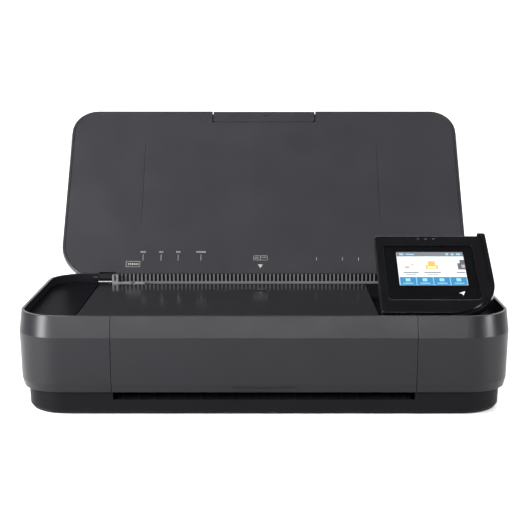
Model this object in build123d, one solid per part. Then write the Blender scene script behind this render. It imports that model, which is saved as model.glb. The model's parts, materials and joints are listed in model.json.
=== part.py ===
"""Portable inkjet all-in-one printer, standing open and ready to print.

Frame: millimetres, +X to the right, +Y to the rear, +Z up, with the desk at Z = 0 and the body
centred on the Z axis. Everything is modelled shut; the lid and the control panel are then turned
about their hinges to the open pose in which the printer is used.
"""

from build123d import *
import math
import os

os.makedirs("parts", exist_ok=True)

# ---------------------------------------------------------------- driving dimensions
BODY_W = 380.2            # widest, at the crease
BODY_D = 198.3            # deepest, at the crease
CLOSED_H = 91.3           # with the lid shut
RIM_Z = 78.0              # top edge of the upper shell
CREASE_Z = 62.0           # fold line round the upper shell
LIP_Z = 25.5              # where the shell turns in to its lower lip
SPLIT_Z = 19.0            # upper shell above, base tray below
BASE_Z = 1.2              # flat underside, carried this high on four feet
WALL = 2.2                # wall of every outer shell
FLOOR_Z = BASE_Z + 2.4    # inside floor of the base tray
DECK_Z = 71.0             # glossy top deck, sunk below the rim
DECK_T = 2.4
SLIT = 0.4                # visible gap between neighbouring covers
RUN = 0.05                # radial clearance of a turning fit

LID_OPEN = 128.0          # degrees from shut to the stop
PANEL_TILT = 32.0         # degrees that the display stands up with the lid open
LID_AXIS = (96.2, 74.0)   # y, z of each hinge line
PANEL_AXIS = (-74.7, 71.3)
DECK_AXIS = (77.6, 65.9)
DOOR_AXIS = (-90.6, 73.6)

DOOR_HALF = 115.6         # half width of the front door
DECK_LEFT = -146.5        # ends of the scanner lid
DECK_RIGHT = 89.8
DECK_FRONT = -82.6
DECK_REAR = 80.0
PAPER_HALF = 112.0        # half width of the paper path
SIDE_X = 117.0            # the chassis side plates stand here


# ---------------------------------------------------------------- small helpers
def box(x0, x1, y0, y1, z0, z1):
    """A box between two corners."""
    return Pos((x0 + x1) / 2, (y0 + y1) / 2, (z0 + z1) / 2) * Box(x1 - x0, y1 - y0, z1 - z0)


def round_box(x0, x1, y0, y1, z0, z1, r, axis=Axis.Z):
    """A box whose edges along one axis are rounded."""
    b = box(x0, x1, y0, y1, z0, z1)
    return fillet(b.edges().filter_by(axis), r)


def rod_x(r, x0, x1, y, z):
    """A round bar along X."""
    return Pos((x0 + x1) / 2, y, z) * Rot(0, 90, 0) * Cylinder(r, x1 - x0)


def rod_y(r, y0, y1, x, z):
    """A round bar along Y."""
    return Pos(x, (y0 + y1) / 2, z) * Rot(90, 0, 0) * Cylinder(r, y1 - y0)


def rod_z(r, z0, z1, x, y):
    """A round bar along Z."""
    return Pos(x, y, (z0 + z1) / 2) * Cylinder(r, z1 - z0)


def slab_x(points, x0, x1):
    """A (y, z) outline run along X."""
    face = make_face(Polyline(*[(x0, y, z) for y, z in points], close=True))
    return extrude(face, x1 - x0, dir=(1, 0, 0))


def outline(half_x, front, rear, r_front, r_rear, z):
    """The body's plan: a rectangle with wide front corners and tighter rear ones."""
    corners = [(-half_x, -front), (half_x, -front), (half_x, rear), (-half_x, rear)]
    face = make_face(Polyline(*corners, close=True))
    face = fillet(face.vertices().group_by(Axis.Y)[0], r_front)
    face = fillet(face.vertices().group_by(Axis.Y)[-1], r_rear)
    return Pos(0, 0, z) * face


def stack(levels, inset=0.0, over=0.0):
    """A solid lofted straight between plans, each moved in by inset and both ends run past."""
    rows = list(levels)
    if over:
        rows = [(rows[0][0] - over, *rows[0][1:]), *rows, (rows[-1][0] + over, *rows[-1][1:])]
    plans = [outline(a - inset, f - inset, r - inset, rf - inset, rr - inset, z)
             for z, a, f, r, rf, rr in rows]
    return Part() + loft(plans, ruled=True)


def gear(teeth, module, x0, x1, y, z, bore, turned=0.0):
    """A spur gear on an X axis; the teeth are cut thin enough to run with backlash."""
    pitch_r = teeth * module / 2
    points = []
    for i in range(teeth):
        for part, r in ((-0.34, -1.2), (-0.12, 0.85), (0.12, 0.85), (0.34, -1.2)):
            a = math.radians(turned) + 2 * math.pi * (i + part) / teeth
            points.append((y + (pitch_r + r * module) * math.cos(a),
                           z + (pitch_r + r * module) * math.sin(a)))
    return slab_x(points, x0, x1) - rod_x(bore, x0 - 1, x1 + 1, y, z)


def turn(shape, axis_yz, degrees):
    """Turns a shape about an axis along X; positive lifts the +Y side."""
    return shape.rotate(Axis((0, *axis_yz), (1, 0, 0)), degrees)


def save(node, *shapes):
    """Writes one node from one or more solids."""
    solids = [s for shape in shapes for s in shape.solids()]
    export_step(Compound(children=solids), f"parts/{node}.step")


# Plans of the casing: height, half width, front, rear, front radius, rear radius
HALF_W, HALF_D = BODY_W / 2, BODY_D / 2
BASE_PLANS = [
    (BASE_Z, 181.6, 88.8, 87.6, 30, 24),
    (4.0, 183.4, 90.6, 90.0, 31, 27),
    (26.0, 184.2, 92.0, 92.0, 31.5, 28),
]
BASE_HOLLOW = [
    (FLOOR_Z, 179.0, 86.4, 85.4, 29, 23),
    (6.4, 181.2, 88.2, 87.8, 30, 25),
    (26.1, 182.0, 89.8, 89.8, 30, 26),
]
SHELL_PLANS = [
    (SPLIT_Z, 187.4, 94.4, 94.4, 33, 30),
    (LIP_Z, 189.0, 96.8, 96.8, 35, 32),
    (CREASE_Z, HALF_W, HALF_D, HALF_D, 37, 34),
    (RIM_Z, 188.6, 94.6, 95.4, 35, 30),
]
LID_Z0 = RIM_Z + 0.3
LID_PLANS = [
    (LID_Z0, 185.2, 89.8, 94.0, 24, 36),
    (LID_Z0 + 3.5, 186.0, 90.6, 94.4, 24.5, 36),
    (LID_Z0 + 9.0, 184.8, 89.2, 93.4, 23.5, 35),
    (LID_Z0 + 11.8, 181.6, 86.0, 90.4, 21, 33),
    (CLOSED_H, 175.1, 79.5, 83.9, 17, 28),
]
LID_HOLLOW = [
    (LID_Z0 - 1, 183.0, 87.6, 91.8, 22, 34),
    (LID_Z0 + 8.6, 182.6, 87.0, 91.2, 21.5, 33.5),
    (CLOSED_H - 2.4, 176.6, 81.0, 85.4, 18, 29.5),
]

HINGE_X = 142.0           # middle of each lid hinge
HINGE_PIN_R = 1.5
PIN_R = 1.2               # the small hinges
PANEL_POSTS = (112.0, 152.0)
DECK_HINGE_X = (-126.0, 70.0)

FOOT_XY = [(sx * 138, sy * 66) for sx in (-1, 1) for sy in (-1, 1)]
FOOT_L, FOOT_W = 34.0, 11.0
SCREW_XY = [(sx * 168, sy * 54) for sx in (-1, 1) for sy in (-1, 1)]
SLOT_LOW = 12.4           # sill of the output slot
BATTERY_X = (-112.0, 50.0)
BATTERY_Z = (6.0, 25.4)
BATTERY_DEPTH = 28.0
JACK_X, USB_X, POWER_X = 146.0, 118.0, 86.0
PORT_Z = 14.2


# ---------------------------------------------------------------- casing
def base_tray():
    """Lower casing: floor, leaning walls, output slot, battery bay and port openings."""
    tray = stack(BASE_PLANS) - stack(BASE_HOLLOW)
    tray -= box(-DOOR_HALF + SLIT, DOOR_HALF - SLIT, -100, -80, SLOT_LOW, 30)
    tray -= box(BATTERY_X[0] - SLIT, BATTERY_X[1] + SLIT, 80, 110, BATTERY_Z[0] - SLIT, 30)
    tray -= rod_y(4.6, 80, 100, JACK_X, PORT_Z)
    tray -= box(USB_X - 6.6, USB_X + 6.6, 80, 100, PORT_Z - 6.0, PORT_Z + 6.0)
    tray -= rod_y(4.9, 80, 100, POWER_X, PORT_Z)
    for x, y in FOOT_XY:
        tray -= round_box(x - FOOT_L / 2 - 0.1, x + FOOT_L / 2 + 0.1, y - FOOT_W / 2 - 0.1,
                          y + FOOT_W / 2 + 0.1, 0, BASE_Z + 1.0, 4.0)
    for x, y in SCREW_XY:
        tray += rod_z(4.4, FLOOR_Z - 0.2, 11.0, x, y)
        tray -= rod_z(3.3, 0, 5.0, x, y)
        tray -= rod_z(1.6, 0, 12, x, y)
    for x in range(-128, -79, 6):
        tray -= box(x - 0.8, x + 0.8, -40, -14, 0, 5)
    for x in (-90, 24):
        tray += box(x, x + 4, 64, 86, FLOOR_Z - 0.1, BATTERY_Z[0])
    return tray


def upper_shell():
    """Upper casing: the ring of wall that shows the crease, open at the front for the door."""
    hollow = stack(SHELL_PLANS, inset=WALL, over=1)
    shell = stack(SHELL_PLANS) - hollow
    for side, top in ((-1, DECK_Z - DECK_T), (1, SUNK_Z - DECK_T)):
        ledge = extrude(outline(188.5, 96.5, 96.5, 43, 32, top - 2), 2)
        ledge -= extrude(outline(184.0, 90.0, 90.0, 40, 29, top - 3), 4)
        x0, x1 = sorted((side * 148, side * 200))
        shell += ledge & hollow & box(x0, x1, -80, 80, 60, 70)
    shell -= box(-DOOR_HALF - SLIT, DOOR_HALF + SLIT, -110, -80, 0, 90)
    shell -= box(BATTERY_X[0] - SLIT, BATTERY_X[1] + SLIT, 80, 110, 0, BATTERY_Z[1] + SLIT)
    for x, y in SCREW_XY:
        # a post over each corner screw, hung from the side wall
        column = rod_z(4.4, 11.0, 34.0, x, y)
        x0, x1 = sorted((x, math.copysign(187.9, x)))
        column += box(x0, x1, y - 2, y + 2, 27.0, 34.0)
        shell += column - rod_z(1.2, 10, 24, x, y)
    for side in (-1, 1):
        for x in (HINGE_X - 9.4, HINGE_X + 9.4):
            shell += rod_x(2.9, side * x - 2, side * x + 2, *LID_AXIS)
        shell -= box(side * HINGE_X - 7.4, side * HINGE_X + 7.4, 88.5, 110, 69.8, 90)
        shell -= rod_x(HINGE_PIN_R, side * HINGE_X - 11, side * HINGE_X + 11, *LID_AXIS)
        x0, x1 = sorted((side * (DOOR_HALF + SLIT), side * (DOOR_HALF + 3.4)))
        shell += box(x0, x1, -94.5, -88.4, 71.0, 76.0)
        shell -= rod_x(PIN_R, x0 - 1, x1 + 1, *DOOR_AXIS)
    for i in range(9):
        x = -40 + 9 * i
        shell -= box(x, x + 5.5, 90, 110, 44.0, 46.0)
        shell -= box(x, x + 5.5, 90, 110, 49.0, 51.0)
    return shell


def rubber_feet():
    """Four soft pads pressed into the underside."""
    return [round_box(x - FOOT_L / 2, x + FOOT_L / 2, y - FOOT_W / 2, y + FOOT_W / 2,
                      0, BASE_Z + 1.0, 3.9) for x, y in FOOT_XY]


def case_screws():
    """Four screws that come up through the base into the shell's posts."""
    screws = []
    for x, y in SCREW_XY:
        screw = rod_z(2.8, 3.0, 5.0, x, y) + rod_z(1.2, 4.0, 24.0, x, y)
        screws.append(screw - box(x - 1.6, x + 1.6, y - 0.4, y + 0.4, 2.5, 4.0))
    return screws


def deck_plate(z_top, x0, x1, y0=-100.0, y1=91.0):
    """A piece of the fixed top deck, trimmed to the inside of the shell."""
    plan = outline(186.6, 92.6, 92.6, 35.5, 31, z_top - DECK_T)
    return extrude(plan, DECK_T) & box(x0, x1, y0, y1, 0, 100)


def left_deck():
    """Glossy fixed deck left of the scanner lid."""
    deck = deck_plate(DECK_Z, -190, DECK_LEFT - 1.1)
    for y in (-50, 0, 50):
        deck += box(-180, -152, y - 1, y + 1, 62.0, DECK_Z - DECK_T + 0.1)
    return deck - box(-156, DECK_LEFT, 86.0, 100, 60, 90)


SUNK_Z = 67.4             # deck under the folded display


def right_deck():
    """Deck right of the scanner lid, sunk where the display folds down onto it."""
    x0 = DECK_RIGHT + SLIT
    deck = deck_plate(SUNK_Z, x0, 190, y1=22.0)
    deck += deck_plate(DECK_Z, x0, 190, y0=21.0, y1=DECK_REAR)
    deck += deck_plate(DECK_Z, 140, 190, y0=DECK_REAR - 1)
    deck += deck_plate(DECK_Z - DECK_T, x0, 190, y0=21.0, y1=23.0)
    for x in PANEL_POSTS:
        deck += box(x - 2.5, x + 2.5, -77.3, -72.1, SUNK_Z - 0.5, PANEL_AXIS[1])
        deck += rod_x(2.6, x - 2.5, x + 2.5, *PANEL_AXIS)
        deck -= rod_x(PIN_R, x - 3, x + 3, *PANEL_AXIS)
    deck += box(120, 122, -60, 15, 61.0, SUNK_Z - DECK_T + 0.1)
    return deck - box(138, 156, 86.0, 100, 50, 90)


# ---------------------------------------------------------------- front door
def front_door():
    """Middle of the front, folded like the shell and hung from its top edge."""
    door = stack(SHELL_PLANS) - stack(SHELL_PLANS, inset=WALL, over=1)
    door &= box(-DOOR_HALF, DOOR_HALF, -110, -84, 0, 90)
    for side in (-1, 1):
        x0, x1 = sorted((side * DOOR_HALF, side * (DOOR_HALF - 3.0)))
        door += box(x0, x1, -94.5, DOOR_AXIS[0], 71.6, 75.6)
        door += rod_x(2.4, x0, x1, *DOOR_AXIS)
        door -= rod_x(PIN_R + RUN, x0 - 1, x1 + 1, *DOOR_AXIS)
    for x in (-72, -24, 24, 72):
        rib = slab_x([(-95.2, 24), (-97.6, 60), (-93.6, 60), (-91.5, 24)], x - 0.8, x + 0.8)
        door += rib
    return door + round_box(-24.5, 24.5, -96.6, -92.6, 21.2, 22.6, 0.5, Axis.X)


# ---------------------------------------------------------------- lid
EXT_HALF = 49.2
EXT_LEN = 12.2
EXT_GAP = 0.9
PANEL_T = 2.0
EXT_Y = -LID_PLANS[0][2] - 0.2


def lid_cover():
    """Outer cover of the lid, hollow underneath."""
    cover = stack(LID_PLANS) - stack(LID_HOLLOW)
    cover -= box(-EXT_HALF - EXT_GAP, EXT_HALF + EXT_GAP, -110, -80, 0, LID_Z0 + 5.0)
    for x in (-130, 0, 130):
        cover += box(x - 1, x + 1, -55, 65, LID_Z0 + 6.5, CLOSED_H - 1.5)
    for side in (-1, 1):
        x = side * HINGE_X
        cover -= box(x - 7.4, x + 7.4, 88.0, 97, 70, LID_Z0 + 3.4)
    return cover


def lid_inner_panel():
    """Inside face of the lid, which the paper leans on, with its shallow paper recess."""
    panel = extrude(outline(182.6, 87.2, 91.4, 21.6, 33.6, LID_Z0), PANEL_T)
    panel -= box(-EXT_HALF - EXT_GAP, EXT_HALF + EXT_GAP, -100, EXT_Y + EXT_LEN + EXT_GAP, 70, 90)
    for x in (-113.6, 108.0):
        panel -= box(x - 0.3, x + 0.3, -54.0, 36.0, LID_Z0 - 1, LID_Z0 + 0.25)
    for side in (-1, 1):
        x = side * HINGE_X
        panel -= box(x - 7.4, x + 7.4, 88.2, 97, 70, 90)
        x0, x1 = sorted((side * (EXT_HALF + EXT_GAP), side * (EXT_HALF + 3.0)))
        panel += box(x0, x1, -74.0, 0.0, LID_Z0 + PANEL_T - 0.1, LID_Z0 + 5.8)
    return panel


def tray_extension():
    """Paper support that draws out of the lid's free edge."""
    cap = box(-EXT_HALF, EXT_HALF, EXT_Y, EXT_Y + EXT_LEN, LID_Z0, LID_Z0 + 4.6)
    cap = fillet(cap.edges().filter_by(Axis.Z).group_by(Axis.Y)[-1], 3.0)
    cap = fillet(cap.edges().filter_by(Axis.X).group_by(Axis.Y)[0], 1.0)
    tongue = box(-EXT_HALF + 0.6, EXT_HALF - 0.6, EXT_Y + EXT_LEN - 1, EXT_Y + 80,
                 LID_Z0 + PANEL_T + 0.4, LID_Z0 + 4.6)
    for x in (-30, 0, 30):
        tongue -= box(x - 9, x + 9, -60, -24, 70, 100)
    return cap + tongue - rod_z(1.1, 70, LID_Z0 + 1.2, 2.0, EXT_Y + 5.2)


def lid_hinge_arms():
    """The two knuckles and leaves that carry the lid on its pins."""
    arms = []
    for x in (-HINGE_X, HINGE_X):
        arm = rod_x(2.9, x - 7, x + 7, *LID_AXIS)
        arm += slab_x([(93.6, 74.6), (95.2, 72.2), (98.6, 75.0), (94.2, 81.0), (88.6, 81.0),
                       (88.6, 79.5), (91.4, 79.1)], x - 7, x + 7)
        arm += box(x - 7, x + 7, 70.0, 90.0, LID_Z0 + PANEL_T, LID_Z0 + PANEL_T + 1.6)
        arms.append(arm - rod_x(HINGE_PIN_R + RUN, x - 8, x + 8, *LID_AXIS))
    return arms


def hinge_pins():
    """Steel pins fast in the body: two for the lid, two for the door, two under each cover."""
    pins = [rod_x(HINGE_PIN_R, x - 11, x + 11, *LID_AXIS) for x in (-HINGE_X, HINGE_X)]
    pins += [rod_x(PIN_R, *sorted((s * (DOOR_HALF - 3), s * (DOOR_HALF + 3.4))), *DOOR_AXIS)
             for s in (-1, 1)]
    pins += [rod_x(PIN_R, x - 6.5, x + 6.5, *PANEL_AXIS) for x in PANEL_POSTS]
    pins += [rod_x(PIN_R, x - 10, x + 10, *DECK_AXIS) for x in DECK_HINGE_X]
    return pins


# ---------------------------------------------------------------- scanner lid and its frame
def scanner_lid():
    """Glossy middle of the deck: takes the originals, and lifts for the cartridges."""
    x0, x1, y0, y1 = DECK_LEFT, DECK_RIGHT, DECK_FRONT, DECK_REAR
    lid = box(x0, x1, y0, y1, DECK_Z - 8.0, DECK_Z)
    lid = fillet(lid.edges().group_by(Axis.Z)[-1].filter_by(Axis.X), 1.6)
    lid -= box(x0 + 2, x1 - 2, y0 + 2, y1 - 2, DECK_Z - 9, DECK_Z - 2.2)
    groove = [(-50, DECK_Z + 1), (-50, DECK_Z - 0.05), (1.6, DECK_Z - 1.7), (1.6, DECK_Z + 1)]
    wedge = make_face(Polyline(*[(x, 42.6, z) for x, z in groove], close=True))
    lid -= extrude(wedge, 8.0, dir=(0, 1, 0))
    for x in (-96, -30, 30):
        lid += box(x - 0.8, x + 0.8, -58, 60, DECK_Z - 6, DECK_Z - 2)
    for x in DECK_HINGE_X:
        lid -= box(x - 10.8, x + 10.8, 71, 83, 50, DECK_Z - 2.2)
        lid += rod_x(2.4, x - 5, x + 5, *DECK_AXIS)
        lid += box(x - 5, x + 5, 76.0, 79.2, DECK_AXIS[1], DECK_Z - 2)
        lid -= rod_x(PIN_R + RUN, x - 6, x + 6, *DECK_AXIS)
    return lid


def deck_frame():
    """Frame under the scanner lid: front rail, side rails, and the bar that carries its hinge."""
    x0, x1 = DECK_LEFT + 4.5, DECK_RIGHT - 4.5
    frame = box(DECK_LEFT, DECK_RIGHT, -93.2, DECK_FRONT - SLIT, DECK_Z - DECK_T, DECK_Z)
    frame += box(x0, DECK_RIGHT, -84.6, -83.0, 52, DECK_Z - DECK_T + 0.1)
    frame += box(x0, 122, -84.6, -83.0, 52, 60.6)
    frame += box(x0, x0 + 4, -84.6, -78, FLOOR_Z, 60.6)
    frame += box(118.6, 122, -84.6, -78, FLOOR_Z, 60.6)
    for x in (x0, x1 - 2):
        frame += box(x, x + 2, -80.2, 74.9, 60.8, 66.0)
        frame += box(x, x + 2, -83.5, -64, 52.0, 61.4)
        frame -= rod_x(1.5 + RUN, x - 1, x + 3, *SCAN_ROLLER)
    frame += box(x0, x1, 72.4, 74.9, 55.4, 61.5)
    for x in DECK_HINGE_X:
        for e in (x - 8, x + 8):
            frame += box(e - 2, e + 2, 72.4, 78.6, 58.0, DECK_AXIS[1])
            frame += rod_x(2.4, e - 2, e + 2, *DECK_AXIS)
        frame -= box(x - 5.6, x + 5.6, 70, 84, 61.6, 71)
        frame -= rod_x(PIN_R, x - 11, x + 11, *DECK_AXIS)
    return frame


SCAN_ROLLER = (-72.0, 58.5)


def scan_bar():
    """Contact image sensor on the underside of the scanner lid."""
    return box(-114, 76, -79.6, -64.6, 62.9, DECK_Z - 2.2)


def scan_roller():
    """Rubber roller that draws the original past the sensor."""
    return rod_x(4.0, -112, 74, *SCAN_ROLLER) + rod_x(1.5, -146.0, 86.5, *SCAN_ROLLER)


def scan_motor():
    """Small motor on the left end of the scan roller."""
    motor = rod_x(8.0, -168, -147.4, *SCAN_ROLLER) + rod_x(3.0, -147.5, -142.4, *SCAN_ROLLER)
    motor += box(-160, -150, -76, -68, 66.0, 67.6)
    return motor - rod_x(1.5 + RUN, -147, -142, *SCAN_ROLLER)


# ---------------------------------------------------------------- control panel
PANEL_X = (90.5, 179.0)
PANEL_Y = (-72.4, 18.8)
PANEL_Z = (68.8, 76.8)
GLASS = (97.0, 169.0, -58.2, 6.8)
LCD = (107.0, 161.0, -40.2, -0.2)


LIGHT_X, LIGHT_Y = (126.0, 132.4, 138.8), 14.6


def panel_plan(z, inset=0.0):
    """Plan of the panel, with its big corner at the front right."""
    x0, x1 = PANEL_X[0] + inset, PANEL_X[1] - inset
    y0, y1 = PANEL_Y[0] + inset, PANEL_Y[1] - inset
    face = make_face(Polyline((x0, y0), (x1, y0), (x1, y1), (x0, y1), close=True))
    corner = face.vertices().sort_by(lambda v: v.X - v.Y)
    face = fillet(corner[-1:], 34.0 - inset)
    rest = [v for v in face.vertices() if abs(v.X - x0) < 0.1 or v.Y > y1 - 0.1]
    return Pos(0, 0, z) * fillet(rest, 3.0 - max(min(inset, 2.0), 0))


def panel_housing():
    """Tilting shell of the display, hollow from below, with knuckles at its front edge."""
    z0, z1 = PANEL_Z
    shell = extrude(panel_plan(z0), z1 - z0)
    shell = fillet(shell.edges().group_by(Axis.Z)[-1], 0.8)
    shell -= extrude(panel_plan(z0 - 1, 1.8), 3.6)
    shell -= round_box(*GLASS, z1 - 1.5, z1 + 1, 3.0)
    shell -= box(*LCD, z1 - 3.6, z1)
    band = extrude(panel_plan(z0 + 0.4, -2.4), z1 - z0 + 0.8) - extrude(panel_plan(z0, 0.2), 20)
    band &= slab_x([(-80, 60), (PANEL_Y[1] + 1.8, 60), (PANEL_Y[1] + 1.8, z1 + 1.2), (-30, z1 + 1.0),
                    (-66, z1 - 1.2), (-80, z1 - 3)], 146, 190)
    shell += band - box(140, 175, PANEL_Y[1] - 8, PANEL_Y[1] + 10, 0, 100)
    for x in LIGHT_X:
        shell -= rod_z(0.9, z1 - 1.6, z1 + 1, x, LIGHT_Y)
    for x in PANEL_POSTS:
        shell -= box(x - 3.0, x + 3.0, -79, PANEL_Y[0] + 5.0, 60, PANEL_AXIS[1] + 3.0)
        for e in (x - 5.4, x + 5.4):
            shell += rod_x(2.4, e - 2.2, e + 2.2, *PANEL_AXIS)
            shell += box(e - 2.2, e + 2.2, PANEL_AXIS[0], PANEL_Y[0] + 4, 69.0, 73.6)
        shell -= rod_x(PIN_R + RUN, x - 8, x + 8, *PANEL_AXIS)
    return shell


def panel_glass():
    """Touch glass over the display, flush with the housing."""
    x0, x1, y0, y1 = GLASS
    z1 = PANEL_Z[1]
    return round_box(x0 + 0.15, x1 - 0.15, y0 + 0.15, y1 - 0.15, z1 - 1.1, z1, 2.9)


def lcd_module():
    """Colour display under the glass."""
    x0, x1, y0, y1 = LCD
    return box(x0 + 0.2, x1 - 0.2, y0 + 0.2, y1 - 0.2, PANEL_Z[1] - 3.6, PANEL_Z[1] - 1.2)


def panel_lights():
    """Three small lenses along the top of the display."""
    return [rod_z(0.88, PANEL_Z[1] - 1.6, PANEL_Z[1] + 0.05, x, LIGHT_Y) for x in LIGHT_X]


# ---------------------------------------------------------------- paper input
CHUTE_SLOPE = 0.55
CHUTE_TOP = (90.0, 69.4)


def chute_y(z):
    """Where the paper face of the chute stands at a height."""
    return CHUTE_TOP[0] - CHUTE_SLOPE * (CHUTE_TOP[1] - z)


def paper_chute():
    """Sloping back of the paper input, slotted for the guides and curved to the rollers."""
    face = [CHUTE_TOP, (chute_y(36), 36), (69.2, 32.4), (62, 28.8), (50, 26.6), (33, 25.6)]
    back = [(33, 24.2), (50, 25.2), (62.4, 27.2), (70.6, 31.0), (chute_y(36) + 1.8, 35.4),
            (CHUTE_TOP[0] + 1.8, CHUTE_TOP[1])]
    chute = slab_x(face + back, -PAPER_HALF, PAPER_HALF)
    for side in (-1, 1):
        x0, x1 = sorted((side * PAPER_HALF, side * 139))
        wing = [CHUTE_TOP, (chute_y(57), 57), (chute_y(57) + 1.8, 57),
                (CHUTE_TOP[0] + 1.8, CHUTE_TOP[1])]
        lower = [(chute_y(57.1), 57.1), (chute_y(50), 50), (chute_y(50) + 1.8, 50),
                 (chute_y(57.1) + 1.8, 57.1)]
        chute += slab_x(wing, x0, x1) + slab_x(lower, x0, x1)
    chute -= box(-137, -48, 70, 96, 65.9, 68.5)
    chute -= box(48, 137, 70, 96, 53.8, 56.5)
    for x in (-60, 60, 95):
        chute += slab_x([(82.4, 52), (95.0, 52), (95.0, 46), (79, 46)], x - 1, x + 1)
    chute += rod_y(PIN_R, 86.0, 95.0, 0, RACK_Z)
    chute += rod_y(3.0, 86.0, 91.4, 0, RACK_Z)
    return chute


RACK_Z = 61.2


def input_comb():
    """Fixed comb across the rear of the paper input."""
    comb = box(-131, 131, 90.9, 93.0, 69.4, 71.4) + box(-131, 131, 92.4, 93.0, 71.2, 77.6)
    n = 72
    for i in range(n):
        x = (i - (n - 1) / 2) * 3.6
        comb += box(x - 0.6, x + 0.6, 91.0, 92.6, 71.2, 78.0)
    return comb


def rack(x0, x1, z_pitch, up):
    """A rack bar on the back of the chute; up is 1 when its teeth point up."""
    step = math.pi * 0.8
    points = []
    count = int((x1 - x0 - 4) / step)
    for i in range(count):
        x = (round(x0 / step) + 1 + i + 0.5) * step
        for part, h in ((-0.34, -0.9), (-0.12, 0.6), (0.12, 0.6), (0.34, -0.9)):
            points.append((x + part * step, 91.8, z_pitch + up * h))
    points = [p for p in points if x0 < p[0] < x1]
    base = z_pitch - up * 2.6
    ring = [(x0, 91.8, base), (x0, 91.8, z_pitch - up * 0.9), *points,
            (x1, 91.8, z_pitch - up * 0.9), (x1, 91.8, base)]
    return extrude(make_face(Polyline(*ring, close=True)), 2.6, dir=(0, 1, 0))


def guide(side):
    """Paper side guide with its finger lever and its rack; side is -1 left, 1 right."""
    x0, x1 = sorted((side * 135.6, side * 130.2))
    low = 66.2 if side < 0 else 54.3
    tab = slab_x([(84.0, 78.0), (90.4, 78.0), (90.4, 71.5), (89.3, 69.4), (chute_y(low) - 0.4, low),
                  (chute_y(low) - 3.4, low), (84.0, 67.5)], x0, x1)
    tab -= box((x0 + x1) / 2 - 0.9, (x0 + x1) / 2 + 0.9, 80, 88.6, 73.0, 79)
    f0, f1 = sorted((side * 135.6, side * 118.4))
    tab += box(f0, f1, 84.0, 89.3, 70.2, 71.8)
    g0, g1 = sorted((side * 135.6, side * 106.7))
    tab += box(g0, g1, 84.6, 88.2, 68.8, 70.3)
    h0, h1 = sorted((side * 116.0, side * 106.7))
    tab += box(h0, h1, 84.4, 88.0, 70.2, 71.6)
    offset = 4.0 + 0.15
    if side < 0:
        tab += box(x0, x1, chute_y(66.4) - 1.5, 92.6, 66.2, 68.2)
        return tab + rack(-135.6, 12, RACK_Z + offset, -1) - box(x0 - 1, x1 + 1, 91.8, 95, 64, 66)
    tab += box(x0, x1, chute_y(54.4) - 1.5, 92.6, 54.3, 56.2)
    return tab + rack(-12, 135.6, RACK_Z - offset, 1)


def guide_pinion():
    """Pinion that makes the two guides move together."""
    wheel = gear(10, 0.8, 0, 2.6, 0, 0, PIN_R + RUN, 18.0)
    return Pos(0, 91.8, RACK_Z) * Rot(0, 0, 90) * wheel


# ---------------------------------------------------------------- print mechanism
FEED = (24.0, 20.0)       # y, z of each shaft
FEED_R = 6.0
OUTPUT = (-30.0, 18.7)
OUTPUT_R = 5.5
PICKUP = (64.7, 42.5)
PICKUP_R = 9.0
MOTOR_PINION = (15.6, 37.4)
GEAR_X = (-126.0, -121.0)
FEED_TEETH, OUTPUT_TEETH, PICKUP_TEETH, IDLER_TEETH, PINION_TEETH = 26, 26, 22, 28, 12
PICKUP_IDLER_TEETH = 22
MESH = 0.3                # extra centre distance of meshing gears
RAIL = (33.0, 46.0)
RAIL_R = 4.0
CARRIAGE_X = (118.0, 168.0)


def meeting_point(a, b, ra, rb, left):
    """Point at given distances from two others, on a chosen side of the line between them."""
    d = math.dist(a, b)
    along = (ra * ra - rb * rb + d * d) / (2 * d)
    off = math.sqrt(max(ra * ra - along * along, 0.0)) * (1 if left else -1)
    ux, uy = (b[0] - a[0]) / d, (b[1] - a[1]) / d
    return (a[0] + along * ux - off * uy, a[1] + along * uy + off * ux)


IDLER = meeting_point(FEED, OUTPUT, (FEED_TEETH + IDLER_TEETH) / 2 + MESH,
                      (OUTPUT_TEETH + IDLER_TEETH) / 2 + MESH, False)
PICKUP_IDLER = meeting_point(FEED, PICKUP, (FEED_TEETH + PICKUP_IDLER_TEETH) / 2 + MESH,
                             (PICKUP_TEETH + PICKUP_IDLER_TEETH) / 2 + MESH, False)


def bearing_of(a, b):
    """Direction from one shaft to another, in degrees."""
    return math.degrees(math.atan2(b[1] - a[1], b[0] - a[0]))


def meshed(teeth, centre, towards, other_teeth, other_turned):
    """Turns a gear so that a gap of it faces a tooth of the gear it meshes with."""
    facing = bearing_of(towards, centre)
    phase = (facing - other_turned) * other_teeth / 360 % 1
    return facing + 180 + (0.5 + phase) * 360 / teeth


def chassis():
    """Frame of the print mechanism: two side plates tied together under the paper path."""
    side = [(-46, FLOOR_Z), (38, FLOOR_Z), (38, 22), (57, 29), (60, 33), (74, 36), (74, 53),
            (56, 53), (50, 36), (41, 26.6), (-46, 26.6)]
    frame = slab_x(side, -SIDE_X - 1.2, -SIDE_X + 1.2) + slab_x(side, SIDE_X - 1.2, SIDE_X + 1.2)
    frame += box(-SIDE_X, SIDE_X, 30.5, 33.0, FLOOR_Z, 12.0)
    frame += box(-SIDE_X, SIDE_X, -42.0, -39.5, FLOOR_Z, 12.0)
    for x in (-70, 0, 70):
        frame += box(x - 1.2, x + 1.2, -40, 31, FLOOR_Z, 9.0)
    for (y, z), r in ((FEED, 3.0), (OUTPUT, 2.5), (PICKUP, 2.5)):
        frame -= rod_x(r + RUN, -SIDE_X - 2, SIDE_X + 2, y, z)
    for y, z in (IDLER, PICKUP_IDLER):
        frame += rod_x(2.0, -127.5, -SIDE_X, y, z)
        frame += rod_x(3.2, -120.6, -SIDE_X, y, z)
    return frame


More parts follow.
